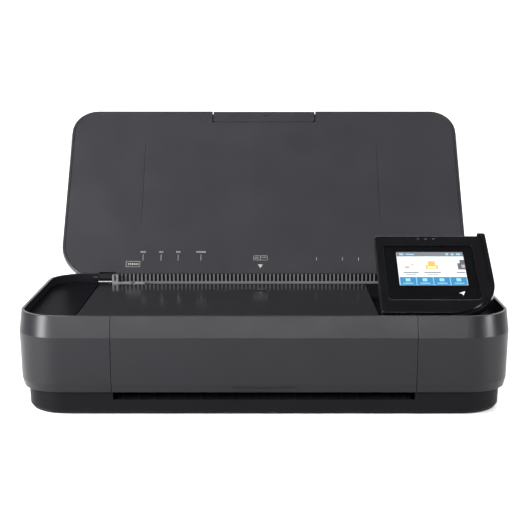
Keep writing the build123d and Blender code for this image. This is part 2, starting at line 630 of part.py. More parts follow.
def platen():
    """Ribbed bed that the paper crosses under the print heads."""
    bed = box(-PAPER_HALF, PAPER_HALF, -17, 15, 20.0, 24.2)
    for i in range(23):
        x = (i - 11) * 9.6
        bed += box(x - 0.6, x + 0.6, -16, 14, 24.0, 25.6)
    for x in (-100, -35, 35, 100):
        bed += box(x - 2, x + 2, -16, 14, FLOOR_Z, 20.5)
        bed -= box(x - 6, x + 6, -4, 4, FLOOR_Z - 1, 12)
    return bed


def feed_shaft():
    """Steel shaft of the main feed roller."""
    return rod_x(3.0, -128, 121, *FEED)


def feed_sleeve():
    """Grit-faced sleeve on the feed shaft."""
    return rod_x(FEED_R, -108, 108, *FEED) - rod_x(3.0, -109, 109, *FEED)


def feed_gear():
    """Gear fast on the feed shaft."""
    return gear(FEED_TEETH, 1.0, *GEAR_X, *FEED, 3.0)


FEED_TURN = 0.0
IDLER_TURN = meshed(IDLER_TEETH, IDLER, FEED, FEED_TEETH, FEED_TURN)
OUTPUT_TURN = meshed(OUTPUT_TEETH, OUTPUT, IDLER, IDLER_TEETH, IDLER_TURN)
PICKUP_IDLER_TURN = meshed(PICKUP_IDLER_TEETH, PICKUP_IDLER, FEED, FEED_TEETH, FEED_TURN)
PICKUP_TURN = meshed(PICKUP_TEETH, PICKUP, PICKUP_IDLER, PICKUP_IDLER_TEETH, PICKUP_IDLER_TURN)
PINION_TURN = meshed(PINION_TEETH, MOTOR_PINION, FEED, FEED_TEETH, FEED_TURN)


def pinch_rollers():
    """Row of free rollers that press the paper on the feed roller."""
    y, z = PINCH
    return [rod_x(3.4, x - 9, x + 9, y, z) - rod_x(PIN_R + RUN, x - 10, x + 10, y, z)
            for x in (-84, -28, 28, 84)]


PINCH = (26.0, 29.9)


def pinch_arm():
    """Bar across the machine that carries the pinch rollers."""
    arm = box(-SIDE_X + 1.3, SIDE_X - 1.3, 32.4, 33.6, 30.5, 33.5)
    for x in (-84, -28, 28, 84):
        for e in (x - 11, x + 11):
            arm += slab_x([(24.4, 28.4), (24.4, 31.6), (33.0, 33.5), (33.0, 30.5), (27.5, 28.4)],
                          e - 0.8, e + 0.8)
        arm += rod_x(PIN_R, x - 12, x + 12, *PINCH)
    return arm


def output_shaft():
    """Shaft of the output rollers."""
    return rod_x(2.5, -128, 121, *OUTPUT)


def output_tyres():
    """Soft tyres that draw the sheet out."""
    return [rod_x(OUTPUT_R, x - 6, x + 6, *OUTPUT) - rod_x(2.5, x - 7, x + 7, *OUTPUT)
            for x in (-90, -45, 0, 45, 90)]


def output_gear():
    """Gear fast on the output shaft."""
    return gear(OUTPUT_TEETH, 1.0, *GEAR_X, *OUTPUT, 2.5, OUTPUT_TURN)


def idler_gear():
    """Idler between the feed and output gears."""
    return gear(IDLER_TEETH, 1.0, *GEAR_X, *IDLER, 2.0 + RUN, IDLER_TURN)


def pickup_idler():
    """Idler between the feed gear and the pickup gear."""
    return gear(PICKUP_IDLER_TEETH, 1.0, *GEAR_X, *PICKUP_IDLER, 2.0 + RUN, PICKUP_IDLER_TURN)


def pickup_shaft():
    """Pickup shaft, moulded in one with its gear."""
    wheel = gear(PICKUP_TEETH, 1.0, *GEAR_X, *PICKUP, 1.0, PICKUP_TURN)
    return rod_x(2.5, -128, 121, *PICKUP) + wheel


def pickup_tyres():
    """Two rubber tyres that take the top sheet."""
    return [rod_x(PICKUP_R, x - 7, x + 7, *PICKUP) - rod_x(2.5, x - 8, x + 8, *PICKUP)
            for x in (-14, 14)]


def star_wheels():
    """Thin toothed wheels over the output rollers, running on one wire."""
    wheels = []
    for x in (-90, -45, 0, 45, 90):
        wheel = gear(16, 0.5, x - 0.5, x + 0.5, *STAR, PIN_R + RUN)
        wheels.append(wheel)
    return wheels


STAR = (-30.0, 29.4)


def star_bar():
    """Bar in front of the output rollers that holds the star wheels."""
    bar = box(-SIDE_X + 1.3, SIDE_X - 1.3, -37.4, -35.6, 27.0, 33.0)
    bar += rod_x(PIN_R, -100, 100, *STAR)
    for x in (-90, -45, 0, 45, 90):
        for e in (x - 2.4, x + 2.4):
            bar += box(e - 0.6, e + 0.6, -36, -28.4, 27.8, 31.0)
    for side in (-1, 1):
        x0, x1 = sorted((side * (SIDE_X - 1.3), side * (SIDE_X - 4)))
        bar += box(x0, x1, -37.4, -35.6, 22.0, 27.1)
    return bar


def roller_bars():
    """The two bars that hold the pinch rollers and the star wheels."""
    return [pinch_arm(), star_bar()]


def output_chute():
    """Ribbed ramp that leads the sheet down to the output slot."""
    ramp = slab_x([(-38.6, 21.4), (-88.0, 12.0), (-88.0, 10.2), (-43.0, 12.0), (-43.0, 18.6),
                   (-38.6, 19.6)], -113, 113)
    for i in range(19):
        x = (i - 9) * 12
        ramp += slab_x([(-39.5, 22.2), (-87.0, 13.0), (-87.0, 11.5), (-39.5, 20.6)],
                       x - 0.5, x + 0.5)
    for x in (-80, 80):
        ramp += box(x - 1.5, x + 1.5, -84, -45, FLOOR_Z, 12.0)
    return ramp


def feed_motor():
    """Paper feed motor beyond the gears."""
    motor = rod_x(12.0, -160, -129.4, *MOTOR_PINION)
    motor += rod_x(1.5, -129.5, -121.5, *MOTOR_PINION)
    return motor + box(-150, -140, 10, 21, FLOOR_Z, 28)


def motor_pinion():
    """Small gear driven by the feed motor."""
    return gear(PINION_TEETH, 1.0, *GEAR_X, *MOTOR_PINION, 1.5 + RUN, PINION_TURN)


# ---------------------------------------------------------------- carriage
def carriage_beam():
    """Folded sheet beam behind the carriage, standing on two legs."""
    beam = box(-174, 176, 46.0, 47.4, 36, 58) + box(-174, 176, 41.0, 47.4, 56.6, 58)
    for x0 in (-174, 174.6):
        beam += box(x0, x0 + 1.4, 27, 47.4, 40, 52)
        beam -= rod_x(RAIL_R, x0 - 1, x0 + 3, *RAIL)
    beam -= box(-129, -118, 45, 48, 35, 44)
    for x0 in (-150, 134):
        beam += box(x0, x0 + 16, 46.0, 47.4, FLOOR_Z, 36.5)
    beam += rod_y(2.0, 43.0, 46.5, *PULLEY_LEFT) + rod_y(2.0, 43.0, 46.5, *PULLEY_RIGHT)
    return beam


PULLEY_LEFT = (-150.0, 50.0)
PULLEY_RIGHT = (164.0, 50.0)
PULLEY_R = 5.0
BELT_T = 0.8


def carriage_rail():
    """Ground steel rail."""
    return rod_x(RAIL_R, -176, 177, *RAIL)


def carriage():
    """Carriage riding on the rail, open on top for the two cartridges."""
    x0, x1 = CARRIAGE_X
    body = box(x0, x1, -18, 19, 30.0, 56.0)
    body -= box(x0 + 2, x0 + 24, -15, 16, 29, 60)
    body -= box(x0 + 26, x1 - 2, -15, 16, 29, 60)
    body += box(x0 + 6, x1 - 6, 18, 27.5, 41, 51.5) + box(x0 + 6, x1 - 6, 26, 40.0, 39.5, 52.5)
    body += box(x0 + 20, x1 - 20, 39.0, 42.2, 52.0, 54.6)
    return body - rod_x(RAIL_R + RUN, x0, x1, *RAIL)


def cartridge(x0, x1):
    """Ink cartridge with its print head below."""
    tank = round_box(x0, x1, -14.9, 15.9, 33.0, 58.6, 2.0)
    head = box(x0 + 4, x1 - 4, -8, 8, 27.6, 33.5)
    grip = box(x0 + 5, x1 - 5, -13, -6, 58.0, 59.4)
    return tank + head + grip


def carriage_belt():
    """Toothed belt as a flat loop round its two pulleys."""
    length = PULLEY_RIGHT[0] - PULLEY_LEFT[0]
    z = PULLEY_LEFT[1]
    outer = SlotCenterToCenter(length, 2 * (PULLEY_R + BELT_T + 0.35))
    inner = SlotCenterToCenter(length, 2 * (PULLEY_R + 0.35))
    loop = extrude(Plane.XZ * (outer - inner), 2.4)
    return Pos((PULLEY_LEFT[0] + PULLEY_RIGHT[0]) / 2, 45.6, z) * loop


def pulley(centre):
    """Belt pulley, with a light pocket ring that shows it turning."""
    wheel = rod_y(PULLEY_R, 43.1, 45.7, *centre) - rod_y(2.0 + RUN, 42, 47, *centre)
    for k in range(3):
        a = math.radians(120 * k)
        wheel -= rod_y(0.7, 42, 47, centre[0] + 3.5 * math.cos(a), centre[1] + 3.5 * math.sin(a))
    return wheel


def carriage_motor():
    """Carriage motor behind the beam at the left."""
    return rod_y(10.0, 47.6, 68.0, *PULLEY_LEFT) + box(-156, -145, 52, 64, FLOOR_Z, 42)


def service_station():
    """Wiping and capping unit under the parked carriage."""
    body = box(122, 166, -20, 26, FLOOR_Z, 20.0) - box(124, 164, -18, 24, 8.0, 21)
    body += box(130, 136, -4, 4, 7.9, 22.0) + box(152, 158, -4, 4, 7.9, 22.0)
    return body


def service_caps():
    """Two soft caps that close the print heads."""
    return [box(x - 7, x + 7, -9, 9, 22.0, 26.6) - box(x - 5.5, x + 5.5, -7.5, 7.5, 24, 27)
            for x in (133, 155)]


# ---------------------------------------------------------------- power and data
def battery_pack():
    """Removable battery across the rear, flush with the back of the case."""
    x0, x1 = BATTERY_X
    z0, z1 = BATTERY_Z
    y1 = 91.0
    pack = box(x0, x1, y1 - BATTERY_DEPTH, y1, z0, z1)
    pack = fillet(pack.edges().filter_by(Axis.Z), 1.5)
    pack -= box(-44, -18, y1 - 2.4, y1 + 1, 12.0, 20.0)
    for i in range(6):
        x = x0 + 8 + i * 3.2
        pack -= box(x, x + 1.4, y1 - 0.8, y1 + 1, z0 + 4, z1 - 4)
        pack -= box(x1 - 8 - i * 3.2 - 1.4, x1 - 8 - i * 3.2, y1 - 0.8, y1 + 1, z0 + 4, z1 - 4)
    return pack


def battery_latch():
    """Sliding catch in the back of the battery."""
    y1 = 91.0
    latch = box(-43.6, -26.0, y1 - 2.2, y1 - 0.6, 12.4, 19.6)
    for i in range(4):
        latch += box(-40 + i * 3, -39 + i * 3, y1 - 0.7, y1 + 0.2, 13.4, 18.6)
    return latch


def main_board():
    """Control board at the rear right, with its chips and capacitors."""
    board = box(66, 156, 54, 84, 7.0, 8.6)
    for x, y in ((70, 58), (70, 80), (128, 58), (150, 58)):
        board += rod_z(2.2, FLOOR_Z, 7.1, x, y)
    board += box(92, 108, 60, 76, 8.5, 10.0) + box(112, 120, 58, 66, 8.5, 9.8)
    for i in range(4):
        board += rod_z(2.8, 8.5, 16.0, 132 + 7 * i, 62)
    return board


def ports():
    """Data socket, charging inlet and power switch, soldered along the rear of the board."""
    socket = box(USB_X - 6.2, USB_X + 6.2, 76, 90.2, PORT_Z - 5.6, PORT_Z + 5.6)
    socket -= box(USB_X - 4.4, USB_X + 4.4, 80, 95, PORT_Z - 4.2, PORT_Z + 4.2)
    socket += box(USB_X - 2.8, USB_X + 2.8, 79.5, 89.0, PORT_Z - 1.6, PORT_Z + 1.6)
    jack = box(JACK_X - 5.5, JACK_X + 5.5, 74, 87.6, 8.6, PORT_Z + 5.5)
    jack += rod_y(4.3, 86, 90.2, JACK_X, PORT_Z)
    jack -= rod_y(3.1, 80, 95, JACK_X, PORT_Z)
    jack += rod_y(0.9, 79.5, 89.0, JACK_X, PORT_Z)
    switch = box(POWER_X - 5, POWER_X + 5, 70, 84.4, 8.6, PORT_Z + 4.5)
    return [socket, jack, switch - rod_y(2.6, 79.4, 90, POWER_X, PORT_Z)]


def power_button():
    """Push button at the rear, with a stem to the board."""
    return rod_y(4.4, 86.5, 92.0, POWER_X, PORT_Z) + rod_y(2.4, 81.0, 86.6, POWER_X, PORT_Z)




# ---------------------------------------------------------------- build
def main():
    """Builds every node, opens the lid and tilts the display, and writes the files."""
    still = {
        "base_tray": base_tray, "upper_shell": upper_shell, "rubber_feet": rubber_feet,
        "case_screws": case_screws, "left_deck": left_deck, "right_deck": right_deck,
        "hinge_pins": hinge_pins, "scanner_lid": scanner_lid, "deck_frame": deck_frame,
        "scan_bar": scan_bar, "scan_roller": scan_roller, "scan_motor": scan_motor,
        "front_door": front_door, "paper_chute": paper_chute, "input_comb": input_comb,
        "guide_pinion": guide_pinion, "chassis": chassis, "platen": platen,
        "feed_shaft": feed_shaft, "feed_sleeve": feed_sleeve, "feed_gear": feed_gear,
        "pinch_rollers": pinch_rollers, "roller_bars": roller_bars,
        "output_shaft": output_shaft,
        "output_tyres": output_tyres, "output_gear": output_gear, "idler_gear": idler_gear,
        "pickup_idler": pickup_idler, "pickup_shaft": pickup_shaft,
        "pickup_tyres": pickup_tyres, "star_wheels": star_wheels,
        "output_chute": output_chute, "feed_motor": feed_motor, "motor_pinion": motor_pinion,
        "carriage_beam": carriage_beam, "carriage_rail": carriage_rail, "carriage": carriage,
        "carriage_belt": carriage_belt, "carriage_motor": carriage_motor,
        "service_station": service_station, "service_caps": service_caps,
        "battery_pack": battery_pack, "battery_latch": battery_latch,
        "main_board": main_board, "ports": ports, "power_button": power_button,
    }
    for node, make in still.items():
        made = make()
        save(node, *(made if isinstance(made, list) else [made]))
    save("guide_left", guide(-1))
    save("guide_right", guide(1))
    save("motor_pulley", pulley(PULLEY_LEFT))
    save("idler_pulley", pulley(PULLEY_RIGHT))
    save("cartridge_black", cartridge(CARRIAGE_X[0] + 2.2, CARRIAGE_X[0] + 23.8))
    save("cartridge_colour", cartridge(CARRIAGE_X[0] + 26.2, CARRIAGE_X[1] - 2.2))
    lid = {"lid_cover": [lid_cover()], "lid_inner_panel": [lid_inner_panel()],
           "tray_extension": [tray_extension()], "lid_hinge_arms": lid_hinge_arms()}
    for node, solids in lid.items():
        save(node, *[turn(s, LID_AXIS, -LID_OPEN) for s in solids])
    panel = {"panel_housing": [panel_housing()], "panel_glass": [panel_glass()],
             "lcd_module": [lcd_module()], "panel_lights": panel_lights()}
    for node, solids in panel.items():
        save(node, *[turn(s, PANEL_AXIS, PANEL_TILT) for s in solids])


main()
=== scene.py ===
"""Studio view of a portable inkjet printer, standing open with its display tilted up."""

import json
import math

import bmesh
import bpy
from mathutils import Matrix, Vector


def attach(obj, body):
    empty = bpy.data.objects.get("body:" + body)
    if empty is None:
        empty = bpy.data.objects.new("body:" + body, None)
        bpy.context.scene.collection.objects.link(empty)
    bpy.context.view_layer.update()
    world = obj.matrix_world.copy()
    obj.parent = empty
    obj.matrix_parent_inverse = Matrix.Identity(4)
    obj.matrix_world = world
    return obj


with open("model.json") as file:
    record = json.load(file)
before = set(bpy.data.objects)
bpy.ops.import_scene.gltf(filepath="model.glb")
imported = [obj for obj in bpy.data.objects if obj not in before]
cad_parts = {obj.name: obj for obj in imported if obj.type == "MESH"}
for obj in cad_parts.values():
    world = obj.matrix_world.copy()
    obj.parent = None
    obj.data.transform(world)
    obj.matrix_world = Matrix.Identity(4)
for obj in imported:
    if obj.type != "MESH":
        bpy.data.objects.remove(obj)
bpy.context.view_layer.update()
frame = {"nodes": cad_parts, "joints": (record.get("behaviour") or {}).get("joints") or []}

MM = 0.001
LID_ANGLE = 128           # how far the lid stands open
PANEL_ANGLE = 32          # how far the display is tilted up
FOCAL_PX, WIDE_PX = 1251, 530
CAMERA_AT = (0, -1.0163, 0.270)
CAMERA_DOWN = 9.42        # degrees below level
JOINTS = {j["name"]: j for j in frame["joints"]}


# ---------------------------------------------------------------- materials
def new_material(name):
    """An empty node material, its tree and its Principled shader."""
    mat = bpy.data.materials.new(name)
    mat.use_nodes = True
    tree = mat.node_tree
    return mat, tree, tree.nodes["Principled BSDF"]


def link(tree, a, a_out, b, b_in):
    """Joins two sockets by name or number."""
    tree.links.new(a.outputs[a_out], b.inputs[b_in])


def noise(tree, scale, detail=3.0, stretch=None):
    """Noise in object metres; stretch scales the axes first."""
    coords = tree.nodes.new("ShaderNodeTexCoord")
    tex = tree.nodes.new("ShaderNodeTexNoise")
    tex.inputs["Scale"].default_value = scale
    tex.inputs["Detail"].default_value = detail
    if stretch:
        mapping = tree.nodes.new("ShaderNodeMapping")
        mapping.inputs["Scale"].default_value = stretch
        link(tree, coords, "Object", mapping, "Vector")
        link(tree, mapping, "Vector", tex, "Vector")
    else:
        link(tree, coords, "Object", tex, "Vector")
    return tex


def ramp(tree, source, low, high, pos=(0.3, 0.7)):
    """Maps a noise to a range of greys or colours."""
    node = tree.nodes.new("ShaderNodeValToRGB")
    node.color_ramp.elements[0].position = pos[0]
    node.color_ramp.elements[1].position = pos[1]
    node.color_ramp.elements[0].color = (*low, 1)
    node.color_ramp.elements[1].color = (*high, 1)
    link(tree, source, "Fac", node, "Fac")
    return node


def plastic(name, colour, rough, grain=0.0, grain_scale=1600, metallic=0.0, coat=0.0, ior=1.5,
            edge=0.0006, smudge=0.05, coat_rough=0.05):
    """Moulded plastic: mottled colour, uneven sheen, fine spark-eroded grain, softened edges."""
    mat, tree, shader = new_material(name)
    shader.inputs["Metallic"].default_value = metallic
    shader.inputs["IOR"].default_value = ior
    shader.inputs["Coat Weight"].default_value = coat
    shader.inputs["Coat Roughness"].default_value = coat_rough
    tint = ramp(tree, noise(tree, 22, 4), [c * 0.93 for c in colour], [c * 1.07 for c in colour])
    link(tree, tint, "Color", shader, "Base Color")
    wear = ramp(tree, noise(tree, 38, 6), [max(rough - smudge, 0.02)] * 3, [rough + smudge] * 3)
    link(tree, wear, "Color", shader, "Roughness")
    bevel = tree.nodes.new("ShaderNodeBevel")
    bevel.samples = 4
    bevel.inputs["Radius"].default_value = edge
    if grain:
        bump = tree.nodes.new("ShaderNodeBump")
        bump.inputs["Strength"].default_value = grain
        bump.inputs["Distance"].default_value = 0.0001
        link(tree, noise(tree, grain_scale, 2), "Fac", bump, "Height")
        link(tree, bevel, "Normal", bump, "Normal")
        link(tree, bump, "Normal", shader, "Normal")
    else:
        link(tree, bevel, "Normal", shader, "Normal")
    return mat


def shade_by_depth(name, front, back, y_front, y_back, rough):
    """Plastic whose colour changes with depth as painted shade, for ribs standing out of a dark slot."""
    mat, tree, shader = new_material(name)
    shader.inputs["Roughness"].default_value = rough
    shader.inputs["IOR"].default_value = 1.35
    coords = tree.nodes.new("ShaderNodeTexCoord")
    parts = tree.nodes.new("ShaderNodeSeparateXYZ")
    depth = tree.nodes.new("ShaderNodeMapRange")
    depth.inputs["From Min"].default_value = y_front
    depth.inputs["From Max"].default_value = y_back
    link(tree, coords, "Object", parts, "Vector")
    link(tree, parts, "Y", depth, "Value")
    mix = tree.nodes.new("ShaderNodeMix")
    mix.data_type = "RGBA"
    mix.inputs["A"].default_value = (*front, 1)
    mix.inputs["B"].default_value = (*back, 1)
    link(tree, depth, "Result", mix, "Factor")
    grain = ramp(tree, noise(tree, 60, 4), [0.9] * 3, [1.0] * 3)
    tint = tree.nodes.new("ShaderNodeMix")
    tint.data_type = "RGBA"
    tint.blend_type = "MULTIPLY"
    tint.inputs["Factor"].default_value = 1.0
    tree.links.new(mix.outputs["Result"], tint.inputs["A"])
    tree.links.new(grain.outputs["Color"], tint.inputs["B"])
    tree.links.new(tint.outputs["Result"], shader.inputs["Base Color"])
    return mat


def metal(name, colour, rough, stretch=(1, 60, 60), scale=40):
    """Brushed or drawn metal."""
    mat, tree, shader = new_material(name)
    shader.inputs["Metallic"].default_value = 1.0
    shader.inputs["Base Color"].default_value = (*colour, 1)
    lines = noise(tree, scale, 4, stretch)
    sheen = ramp(tree, lines, [rough * 0.7] * 3, [rough * 1.35] * 3)
    link(tree, sheen, "Color", shader, "Roughness")
    bump = tree.nodes.new("ShaderNodeBump")
    bump.inputs["Strength"].default_value = 0.08
    bump.inputs["Distance"].default_value = 0.0001
    link(tree, lines, "Fac", bump, "Height")
    link(tree, bump, "Normal", shader, "Normal")
    return mat


def glow(name, colour, strength):
    """A lit patch of the display."""
    mat, tree, shader = new_material(name)
    shader.inputs["Base Color"].default_value = (*[c * 0.4 for c in colour], 1)
    shader.inputs["Roughness"].default_value = 0.5
    shader.inputs["Emission Color"].default_value = (*colour, 1)
    shader.inputs["Emission Strength"].default_value = strength
    cells = noise(tree, 900, 1)
    tint = ramp(tree, cells, [c * 0.97 for c in colour], colour)
    link(tree, tint, "Color", shader, "Emission Color")
    return mat


def touch_glass(name):
    """Clear cover glass: passes light straight through and mirrors at its surface."""
    mat, tree, shader = new_material(name)
    clear = tree.nodes.new("ShaderNodeBsdfTransparent")
    clear.inputs["Color"].default_value = (0.93, 0.94, 0.95, 1)
    mirror = tree.nodes.new("ShaderNodeBsdfGlossy")
    mirror.inputs["Roughness"].default_value = 0.03
    mirror.inputs["Color"].default_value = (0.6, 0.6, 0.62, 1)
    mix = tree.nodes.new("ShaderNodeMixShader")
    mix.inputs[0].default_value = 0.025
    link(tree, clear, 0, mix, 1)
    link(tree, mirror, 0, mix, 2)
    link(tree, mix, 0, tree.nodes["Material Output"], "Surface")
    tree.nodes.remove(shader)
    return mat


def rubber(name, colour):
    """Dull rubber with a dusty bloom."""
    return plastic(name, colour, 0.78, 0.25, 2600, smudge=0.1, ior=1.45, edge=0.0004)


MATS = {
    "casing": plastic("casing", (0.0075, 0.0072, 0.0088), 0.33, 0.05, 2400, ior=1.25),
    "lid_shell": plastic("lid_shell", (0.015, 0.0145, 0.017), 0.36, 0.06, 2400, ior=1.4),
    "base_black": plastic("base_black", (0.004, 0.004, 0.0048), 0.45, 0.12, 1900, ior=1.12),
    "deck_gloss": plastic("deck_gloss", (0.006, 0.006, 0.007), 0.12, 0.0, smudge=0.03, ior=1.4),
    "deck_side": plastic("deck_side", (0.004, 0.004, 0.005), 0.3, 0.0, smudge=0.03, ior=1.02),
    "inner_black": plastic("inner_black", (0.005, 0.005, 0.006), 0.5, 0.1, 1700, ior=1.15),
    "lid_grey": plastic("lid_grey", (0.017, 0.0165, 0.019), 0.38, 0.08, 2200, ior=1.32),
    "hinge_grey": plastic("hinge_grey", (0.006, 0.006, 0.007), 0.5, 0.08, 2200, ior=1.15),
    # Painted shade: the comb's ribs are painted darker towards the back of the slot, where shade falls.
    "comb": shade_by_depth("comb", (0.07, 0.07, 0.073), (0.001, 0.001, 0.001), 0.0914, 0.0922, 0.4),
    "guide_grey": plastic("guide_grey", (0.1, 0.1, 0.103), 0.4, 0.08, 2200),
    "panel_black": plastic("panel_black", (0.0025, 0.0025, 0.003), 0.16, 0.03, 2200, ior=1.25, smudge=0.03),
    "mech_plastic": plastic("mech_plastic", (0.03, 0.03, 0.031), 0.5, 0.1, 1500),
    "gear_plastic": plastic("gear_plastic", (0.72, 0.7, 0.64), 0.4, 0.03, 1500),
    "ink_black": plastic("ink_black", (0.02, 0.02, 0.022), 0.3, 0.03, 1500),
    "board_green": plastic("board_green", (0.01, 0.12, 0.05), 0.35, 0.2, 900, coat=0.3),
    "button_plastic": plastic("button_plastic", (0.06, 0.06, 0.062), 0.25, 0.02, 1500),
    "rubber": rubber("rubber", (0.018, 0.018, 0.018)),
    "lens": plastic("lens", (0.02, 0.02, 0.022), 0.12, 0.0, coat=0.5, edge=0.0003),
    "steel": metal("steel", (0.56, 0.56, 0.57), 0.24),
    "sheet_steel": metal("sheet_steel", (0.5, 0.5, 0.51), 0.34, (1, 1, 1), 120),
    "touch_glass": touch_glass("touch_glass"),
    "print_grey": plastic("print_grey", (0.2, 0.195, 0.18), 0.5, 0.03, 1500),
    "print_dark": plastic("print_dark", (0.02, 0.02, 0.021), 0.5, 0.03, 1500),
    "bezel": plastic("bezel", (0.001, 0.001, 0.0012), 0.25, 0.0, ior=1.1),
    "label": plastic("label", (0.62, 0.63, 0.64), 0.45, 0.02, 900),
    "cyan": plastic("cyan", (0.0, 0.3, 0.6), 0.35, 0.0),
    "magenta": plastic("magenta", (0.6, 0.02, 0.25), 0.35, 0.0),
    "yellow": plastic("yellow", (0.8, 0.6, 0.02), 0.35, 0.0),
    "glow_white": glow("glow_white", (0.86, 0.9, 0.93), 0.9),
    "glow_grey": glow("glow_grey", (0.16, 0.16, 0.17), 0.9),
    "glow_blue": glow("glow_blue", (0.005, 0.2, 0.4), 0.8),
    "glow_pale": glow("glow_pale", (0.3, 0.55, 0.75), 0.8),
    "glow_gold": glow("glow_gold", (0.72, 0.42, 0.06), 0.85),
    "glow_ink_pale": glow("glow_ink_pale", (0.6, 0.62, 0.66), 0.8),
    "glow_red": glow("glow_red", (0.62, 0.3, 0.28), 0.8),
    "glow_ink": glow("glow_ink", (0.09, 0.11, 0.13), 0.6),
}

NODE_MATS = {
    "casing": "upper_shell front_door",
    "lid_shell": "lid_cover",
    "base_black": "base_tray battery_pack",
    "deck_gloss": "scanner_lid",
    "deck_side": "left_deck right_deck",
    "inner_black": "deck_frame paper_chute output_chute roller_bars",
    "comb": "input_comb",
    "lid_grey": "lid_inner_panel tray_extension",
    "guide_grey": "guide_left guide_right battery_latch",
    "panel_black": "panel_housing",
    "touch_glass": "panel_glass",
    "glow_white": "lcd_module",
    "lens": "panel_lights",
    "hinge_grey": "lid_hinge_arms hinge_pins",
    "steel": "case_screws feed_shaft output_shaft carriage_rail ports",
    "sheet_steel": "carriage_beam scan_motor feed_motor carriage_motor",
    "rubber": "rubber_feet scan_roller feed_sleeve pinch_rollers output_tyres pickup_tyres "
              "carriage_belt service_caps",
    "mech_plastic": "chassis platen carriage service_station scan_bar",
    "gear_plastic": "feed_gear output_gear idler_gear pickup_idler pickup_shaft motor_pinion "
                    "guide_pinion star_wheels motor_pulley idler_pulley",
    "ink_black": "cartridge_black cartridge_colour",
    "board_green": "main_board",
    "button_plastic": "power_button",
}
for mat_name, nodes in NODE_MATS.items():
    for node in nodes.split():
        obj = frame["nodes"][node]
        for s in obj.material_slots:
            s.material = MATS[mat_name]


# ---------------------------------------------------------------- pieces
def about(joint, degrees):
    """Matrix that turns a point modelled shut to where the joint's child stands at rest."""
    j = JOINTS[joint]
    pos = Vector(j["pos_m"])
    spin = Matrix.Rotation(math.radians(degrees), 4, Vector(j["axis"]))
    return Matrix.Translation(pos) @ spin @ Matrix.Translation(-pos)


LID = about("lid_hinge", LID_ANGLE)
PANEL = about("panel_tilt", PANEL_ANGLE)
PLACE = {"lid": LID, "display_panel": PANEL}


def add_piece(name, bm, mat, body):
    """Turns a bmesh in shut-pose metres into a piece that rides on a body."""
    mesh = bpy.data.meshes.new(name)
    bmesh.ops.recalc_face_normals(bm, faces=bm.faces)
    bm.to_mesh(mesh)
    bm.free()
    mesh.transform(PLACE.get(body, Matrix.Identity(4)))
    obj = bpy.data.objects.new(name, mesh)
    bpy.context.scene.collection.objects.link(obj)
    mesh.materials.append(MATS[mat])
    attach(obj, body)
    return obj


def add_box(bm, x0, x1, y0, y1, z0, z1):
    """A box in millimetres."""
    made = bmesh.ops.create_cube(bm, size=1)
    for v in made["verts"]:
        v.co = Vector((x0 + (v.co.x + 0.5) * (x1 - x0), y0 + (v.co.y + 0.5) * (y1 - y0),
                       z0 + (v.co.z + 0.5) * (z1 - z0))) * MM


def add_prism(bm, points, z0, z1):
    """A flat outline in millimetres given a thickness along Z."""
    low = [bm.verts.new(Vector((x, y, z0)) * MM) for x, y in points]
    high = [bm.verts.new(Vector((x, y, z1)) * MM) for x, y in points]
    bm.faces.new(low[::-1])
    bm.faces.new(high)
    for i in range(len(points)):
        k = (i + 1) % len(points)
        bm.faces.new((low[i], low[k], high[k], high[i]))


# Marks printed on the lid's inside face. The face looks down when the lid is shut.
lid_z = JOINTS["lid_hinge"]["pos_m"][2] / MM + 4.3
LID_PANEL_END = 91.4


def lid_y(length):
    """Shut-pose Y of a point this far up the lid's inside face."""
    return LID_PANEL_END + 2.6 - length


bm = bmesh.new()
for x, top in ((-110.6, 24), (-94.2, 24), (-78.6, 24), (-57.7, 24), (48, 21), (71.8, 21), (86.4, 21)):
    add_box(bm, x - 0.22, x + 0.22, lid_y(top), lid_y(17.6), lid_z - 0.04, lid_z + 0.02)
for x, width in ((-110.6, 5.5), (-94.2, 4), (-78.6, 4), (-57.7, 9)):
    for k in range(int(width)):
        cx = x - width / 2 + 0.5 + k
        add_box(bm, cx - 0.3, cx + 0.3, lid_y(27.4), lid_y(25.8), lid_z - 0.04, lid_z + 0.02)
for x0, x1, l0, l1 in ((-126, -113, 11, 11.4), (-126, -113, 16.6, 17), (-126, -125.6, 11, 17),
                       (-113.4, -113, 11, 17), (-9.6, 3.2, 18, 18.4), (-9.6, 3.2, 22.3, 22.7),
                       (-9.6, -9.2, 18, 22.7), (2.8, 3.2, 18, 22.7), (-3.4, -3.0, 18, 22.7),
                       (-8.4, -4.4, 20.6, 21.0), (-2.2, 2.0, 20.6, 21.0), (-8.4, -5.4, 19.4, 19.8)):
    add_box(bm, x0, x1, lid_y(l1), lid_y(l0), lid_z - 0.04, lid_z + 0.02)
for k in range(6):
    add_box(bm, -124 + 1.7 * k, -123 + 1.7 * k, lid_y(15), lid_y(13), lid_z - 0.04, lid_z + 0.02)
add_prism(bm, [(-5.6, lid_y(13.6)), (-0.8, lid_y(13.6)), (-3.2, lid_y(9.8))], lid_z - 0.04, lid_z + 0.02)
add_piece("lid_marks", bm, "print_grey", "lid")

# What the display shows: status bar, white field with three pictures, four-part bar below.
LCD_X = (107.2, 160.8)
LCD_Y = (-40.0, -0.4)
lcd_z = 75.6


def screen(name, rects, mat, layer):
    """Flat patches on the display, given in fractions of its width and height."""
    w, h = LCD_X[1] - LCD_X[0], LCD_Y[1] - LCD_Y[0]
    patch = bmesh.new()
    for x0, x1, y0, y1 in rects:
        z = lcd_z + 0.01 * layer
        add_box(patch, LCD_X[0] + x0 * w, LCD_X[0] + x1 * w, LCD_Y[0] + y0 * h, LCD_Y[0] + y1 * h,
                z, z + 0.008)
    add_piece(name, patch, mat, "display_panel")


